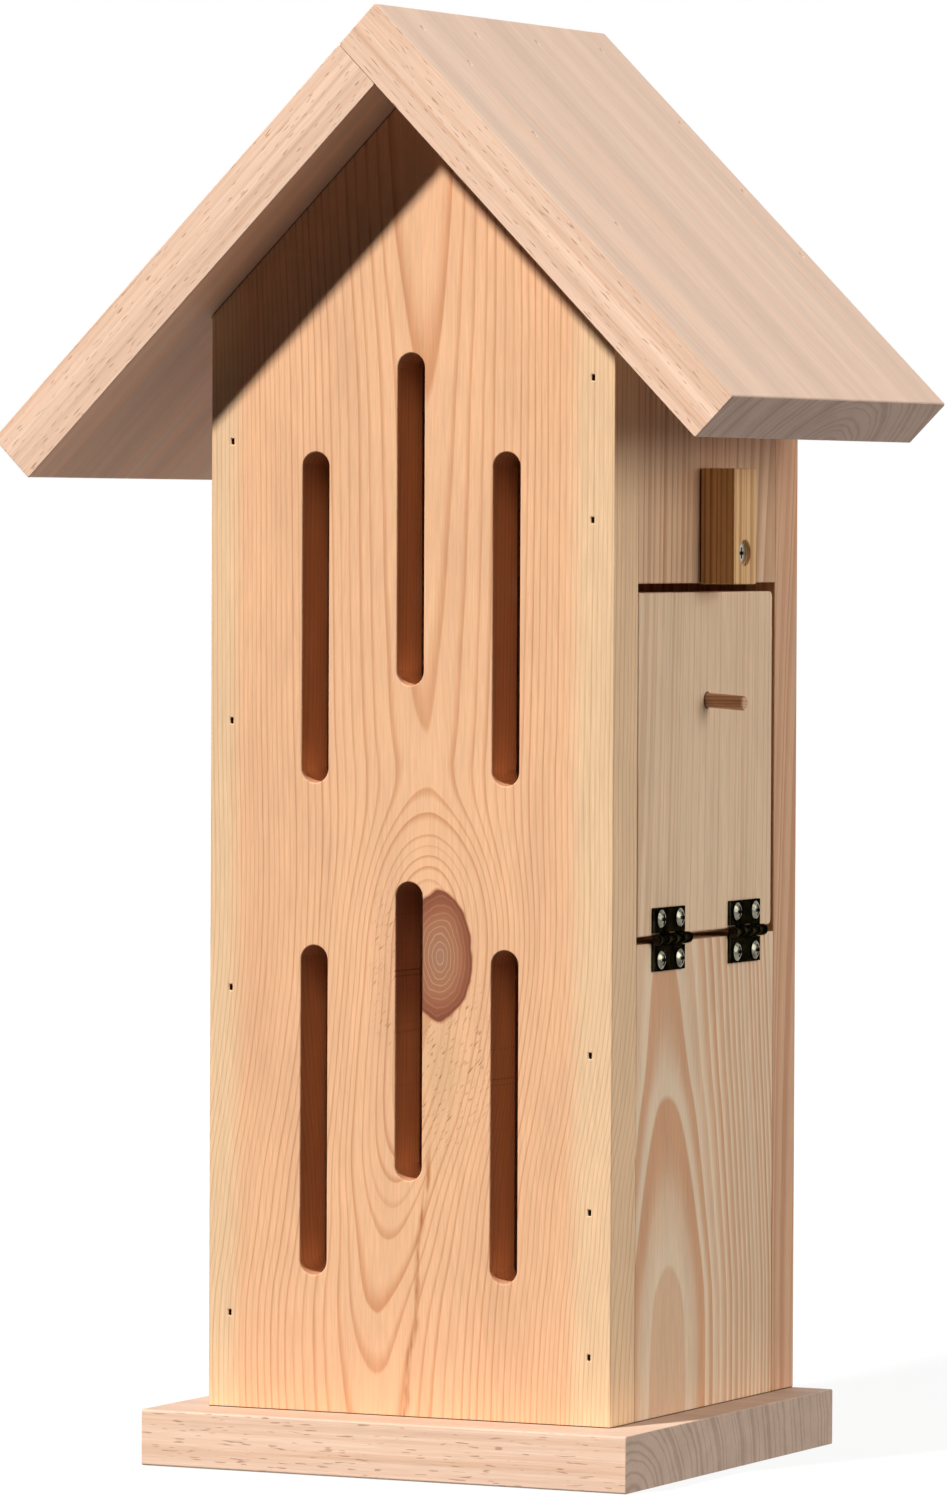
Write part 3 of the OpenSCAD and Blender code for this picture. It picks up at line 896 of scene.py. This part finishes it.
# The lower right side board: a pale flat-sawn board with broad brown arches.
LOWER_PINE = Pine(
    "oiled_pine_lower_side", Grain.UPRIGHT_SIDE, face=-75.0,
    depths=((19, 12.5), (57, 15.3), (66, 18.1), (76.4, 21.7), (95, 26.6), (123, 32.5), (133, 34.6),
            (168, 37.9), (182, 39.1)),
    heart=((19, -20), (95, -20), (182, -24)),
    rings=(0, 6, 21.7, 34.6, 39.8, 45.5, 51, 55.5, 60, 64, 67.5, 70.8, *range(74, 96, 3)),
    wander=0.25, latewood=(0.08, 0.75), wobble=0.6, early="efd2b0", late="d8a075")

# The upper right side board: straight stripes of a slow, pinkish brown, a little darker with painted
# shade from the roof.
UPPER_PINE = Pine(
    "oiled_pine_upper_side", Grain.UPRIGHT_SIDE, face=-75.0, depths=((280, 34), (400, 40)),
    heart=((0, 75), (470, 75)), ring=4.2, wander=1.2, latewood=(0.3, 0.9), wobble=0.6,
    early="dfb792", late="b07e57")

# The left side board: the same warm pine as the front, flat-sawn.
LEFT_PINE = Pine(
    "oiled_pine_left_side", Grain.UPRIGHT_SIDE, face=75.0, depths=((0, 26), (150, 18), (400, 30)),
    heart=((0, 8), (470, 8)), ring=2.6)

# The door: pale pine with wide, faint straight rings.
DOOR_PINE = Pine(
    "oiled_pine_door", Grain.UPRIGHT_SIDE, face=-75.0, depths=((170, 38), (300, 30)),
    heart=((0, -75), (470, -75)), ring=5.5, wobble=0.8, early="ebcaa6", late="dbb28b")

# The peg: a turned beech rod, whose rings show as fine pinkish brown lines like the pine's.
PEG_BEECH = Pine(
    "turned_beech_peg", Grain.LEVEL, face=0.0, depths=((60, 40), (95, 40)), ring=1.1,
    early="dfb08e", late="c28c66")

# The turn button: yellow pine with close, strong brown lines.
BUTTON_PINE = Pine(
    "oiled_pine_button", Grain.UPRIGHT_SIDE, face=-88.0, depths=((250, 30), (350, 30)),
    heart=((0, 30), (470, 30)), ring=1.6, wobble=0.3, early="e9bb82", late="aa6d33")

# The roof and the base: pale pinkish beech. The roof's sawn ends are greyer than the base's, as they hold
# painted shade.
ROOF_RIGHT_BEECH = Beech("steamed_beech_roof_board_right", Grain.RIGHT_SLOPE, pith=(15.0, 318.0))
ROOF_LEFT_BEECH = Beech("steamed_beech_roof_board_left", Grain.LEFT_SLOPE, pith=(-20.0, -318.0))
BASE_BEECH = Beech("steamed_beech_base", Grain.LEVEL, pith=(-80.0, -4.0), end="cdb09a", end_line="a78a77")

# Plated leaves and pins gone dull: near black, with a greyish gleam along their edges.
TARNISHED_NICKEL = Metal("tarnished_nickel", "38362c", "14130e", roughness=0.24, edge="8a8778")
# Polished plated screws: small bright heads on the dark leaves, with painted shade making their crosses
# black.
BRIGHT_NICKEL = Metal("bright_nickel", "848070", "3d3a31", roughness=0.16)
# Drawn wire, dull and brown: the brads show as dark dots sunk in the wood.
DRAWN_WIRE = Metal("drawn_wire", "3f362d", "241e18", roughness=0.5, edge="5a5046")
# The button's own plated screw: paler and softer in its gleam than the hinges' screws.
NICKEL_SCREW = Metal("nickel_screw", "b9b4a6", "8f8775", roughness=0.28)


def in_brad_hole(edge: bmesh.types.BMEdge) -> bool:
    """Tells whether a sharp edge lies inside a brad's square hole, where easing would close it.

    Args:
        edge: an edge of a board.

    Returns:
        True for an edge below the hole's rim.
    """
    if any(face.calc_area() > SMALL_FACE for face in edge.link_faces):
        return False
    if edge.calc_length() >= HOLE_EDGE or any(len(end.link_edges) > 3 for end in edge.verts):
        return False
    return any(abs(end.co.x) > SLOTS_WITHIN or end.co.z > SLOTS_TO or end.co.z < SLOTS_FROM
               for end in edge.verts)


def eased_copy(node: str, radius: float, stays_sharp: EdgeTest | None = None) -> bpy.types.Object:
    """Copies a CAD piece, merges its triangles and eases its sharp edges.

    Args:
        node: the CAD node's name, which the copy then stands for.
        radius: how far each edge is taken off, in mm.
        stays_sharp: says which sharp edges stay as they are.

    Returns:
        The new object, riding on the node's body.
    """
    source = frame["nodes"][node]
    shape = bmesh.new()
    shape.from_mesh(source.data)
    bmesh.ops.remove_doubles(shape, verts=shape.verts, dist=SAME_CORNER)
    bmesh.ops.dissolve_limit(shape, angle_limit=SAME_PLANE, verts=shape.verts, edges=shape.edges)
    sharp = [edge for edge in shape.edges if edge.is_manifold and edge.calc_face_angle() > SHARP_TURN
             and not (stays_sharp and stays_sharp(edge))]
    level = [face.normal.copy() for face in shape.faces if face.calc_area() > SMALL_FACE]
    bmesh.ops.bevel(shape, geom=sharp, offset=radius * MM, offset_type="OFFSET", affect="EDGES",
                    segments=2, profile=0.5, material=-1, clamp_overlap=False)
    mesh = bpy.data.meshes.new(node + "_eased")
    shape.to_mesh(mesh)
    shape.free()
    mesh.set_sharp_from_angle(angle=SMOOTH_TURN)
    for face in mesh.polygons:
        face.use_smooth = all(face.normal.dot(way) < LEVEL_COSINE for way in level)
    made = bpy.data.objects.new(node + "_eased", mesh)
    bpy.context.scene.collection.objects.link(made)
    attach(made, source["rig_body"])
    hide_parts(node)
    return made


def dress(piece: bpy.types.Object, material: bpy.types.Material) -> None:
    """Gives a piece one material and logs it.

    Args:
        piece: the object to dress.
        material: what it is made of.
    """
    piece.data.materials.clear()
    piece.data.materials.append(material)
    LOG.info("%s: %s", piece.name, material.name)


@dataclass
class Box:
    """The slotted box: front and back panels with the side boards between them."""

    ease: float = 0.35

    def build(self) -> None:
        """Eases the boards' edges and gives each its own cut of pine."""
        for node, pine in (("front_panel", FRONT_PINE), ("back_panel", BACK_PINE),
                           ("right_lower_board", LOWER_PINE), ("right_upper_board", UPPER_PINE),
                           ("left_side_board", LEFT_PINE)):
            dress(eased_copy(node, self.ease, in_brad_hole), pine.material())


@dataclass
class Roof:
    """Two beech boards, the right one lapping the left one's upper end."""

    ease: float = 0.3

    def build(self) -> None:
        """Eases the boards' sawn ends and dresses them."""
        for node, beech in (("roof_board_right", ROOF_RIGHT_BEECH), ("roof_board_left", ROOF_LEFT_BEECH)):
            dress(eased_copy(node, self.ease, in_brad_hole), beech.material())


@dataclass
class Base:
    """The beech board that the box stands on."""

    ease: float = 0.3

    def build(self) -> None:
        """Eases the board's sawn ends and dresses it."""
        dress(eased_copy("base_board", self.ease, in_brad_hole), BASE_BEECH.material())


@dataclass
class Door:
    """The drop-down side door with its peg."""

    ease: float = 0.5

    def build(self) -> None:
        """Eases the door and gives the peg its turned surface."""
        dress(eased_copy("door_board", self.ease, in_brad_hole), DOOR_PINE.material())
        dress(frame["nodes"]["door_peg"], PEG_BEECH.material())


@dataclass
class TurnButton:
    """The wooden turn button and the screw that it swings on."""

    ease: float = 0.3

    def build(self) -> None:
        """Eases the button and dresses both."""
        dress(eased_copy("turn_button", self.ease), BUTTON_PINE.material())
        dress(frame["nodes"]["button_screw"], NICKEL_SCREW.material())


@dataclass
class Ironmongery:
    """Hinges, their screws and the brads."""

    ease: float = 0.12

    def build(self) -> None:
        """Eases the hinges' leaves and dresses every metal piece."""
        dark = TARNISHED_NICKEL.material()
        metals = {"pin": dark, "screws": BRIGHT_NICKEL.material(), "nails": DRAWN_WIRE.material()}
        for name, node in frame["nodes"].items():
            kind = name.rsplit("_", 1)[-1]
            if kind == "leaf":
                dress(eased_copy(name, self.ease), dark)
            elif kind in metals:
                dress(node, metals[kind])


@dataclass(frozen=True)
class Sun:
    """A sun: where it stands, its strength in W/m² and how wide it is in the sky, in degrees."""

    name: str
    towards: Point
    strength: float
    spread: float

    def shine(self) -> None:
        """Adds the sun to the scene."""
        data = bpy.data.lights.new(self.name, "SUN")
        data.energy = self.strength
        data.angle = math.radians(self.spread)
        lamp = bpy.data.objects.new(self.name, data)
        lamp.rotation_mode = "QUATERNION"
        lamp.rotation_quaternion = Vector(self.towards).to_track_quat("Z", "Y")
        bpy.context.scene.collection.objects.link(lamp)


@dataclass
class Studio:
    """The camera, the lights and the pale floor."""

    # The camera, as worked out from the object's square corners in the photograph.
    lens_mm: float = 198.04
    sensor_mm: float = 36.0
    sees_to: float = 100.0
    position: Point = (1.22327, -2.53076, 0.31706)
    look: Point = (-0.43731, 0.89890, -0.02718)
    up: Point = (-0.01575, 0.02257, 0.99962)
    # A key from the front left, a wide fill from the right and a wide bounce from below.
    suns: tuple[Sun, ...] = (Sun("key", (-0.275, -0.685, 0.674), 4.5, 4.5),
                             Sun("fill", (0.945, 0.23, 0.23), 1.45, 40.0),
                             Sun("bounce", (-0.12, 0.35, -0.93), 1.7, 60.0))
    # The air's strength round the camera and behind the object, and between which it changes, from
    # -1 right in front to 1 right behind. Gloss sees a little more.
    air: Span = (0.01, 0.8)
    air_change: Span = (-0.3, 0.7)
    air_shine: float = 0.15
    # The floor's half width, its gap below the base, and its paper as the light and the eye see it.
    floor_half: float = 6.0
    floor_gap: float = 0.2 * MM
    paper: str = "2c2c2c"
    paper_seen: str = "606060"
    paper_glow: float = 0.9

    def build(self) -> None:
        """Makes everything that isn't the object."""
        self._camera()
        for sun in self.suns:
            sun.shine()
        self._world()
        self._floor()

    def _camera(self) -> None:
        """Places the camera where the photograph was taken from."""
        data = bpy.data.cameras.new("camera")
        data.lens = self.lens_mm
        data.sensor_width = self.sensor_mm
        data.clip_end = self.sees_to
        camera = bpy.data.objects.new("camera", data)
        back, up = -Vector(self.look), Vector(self.up)
        turn = Matrix((up.cross(back), up, back)).transposed().to_4x4()
        camera.matrix_world = Matrix.Translation(self.position) @ turn
        bpy.context.scene.collection.objects.link(camera)
        bpy.context.scene.camera = camera

    def _world(self) -> None:
        """Lights the air like a white wall behind the object: bright behind, dim round the camera."""
        world = bpy.data.worlds.new("air")
        sh = Shader(world)
        spot = sh.add("TexCoord", out=None)["Generated"]
        depth = sh.add("SeparateXYZ", [spot], out="Y")
        (front, back), (dim, bright) = self.air_change, self.air
        wall = sh.add("MapRange", {"Value": depth, "From Min": front, "From Max": back,
                                   "To Min": dim, "To Max": bright}, interpolation_type="SMOOTHSTEP")
        path = sh.add("LightPath", out=None)
        shine = sh.add("Math", [path["Is Glossy Ray"], self.air_shine, wall], operation="MULTIPLY_ADD")
        white = sh.add("Math", [shine, path["Is Camera Ray"]], operation="MAXIMUM")
        air = sh.add("Background", {"Color": (1, 1, 1, 1), "Strength": white})
        sh.add("OutputWorld", [air], out=None)
        bpy.context.scene.world = world

    def _floor(self) -> None:
        """Lays a pale floor that looks white, keeps the object's shadow and lets the bounce through."""
        shape = bmesh.new()
        bmesh.ops.create_grid(shape, x_segments=1, y_segments=1, size=self.floor_half)
        mesh = bpy.data.meshes.new("floor")
        shape.to_mesh(mesh)
        shape.free()
        floor = bpy.data.objects.new("floor", mesh)
        floor.location = (0, 0, -self.floor_gap)
        floor.visible_shadow = False
        bpy.context.scene.collection.objects.link(floor)
        # White paper: matt, and white to the camera and in gloss without lighting the object.
        sh = Shader(bpy.data.materials.new("white_paper"))
        path = sh.add("LightPath", out=None)
        seen = sh.add("Math", [path["Is Camera Ray"], path["Is Glossy Ray"]], operation="MAXIMUM")
        paper = sh.add("Mix", {SHARE: seen, UNDER: linear(self.paper), OVER: linear(self.paper_seen)},
                       **COLOURS)
        matt = sh.add("BsdfDiffuse", [paper])
        bright = sh.add("Math", [seen, self.paper_glow], operation="MULTIPLY")
        glow = sh.add("Emission", {"Color": (1, 1, 1, 1), "Strength": bright})
        surface = sh.add("AddShader", [matt, glow])
        sh.add("OutputMaterial", [surface], out=None)
        floor.data.materials.append(sh.owner)


def main() -> None:
    """Builds the studio and dresses each sub-assembly in turn."""
    logging.basicConfig(level=logging.INFO, format="%(name)s: %(message)s")
    bpy.context.scene.view_settings.view_transform = "Standard"
    for part in (Studio(), Box(), Roof(), Base(), Door(), TurnButton(), Ironmongery()):
        part.build()


if __name__ == "__main__":
    main()
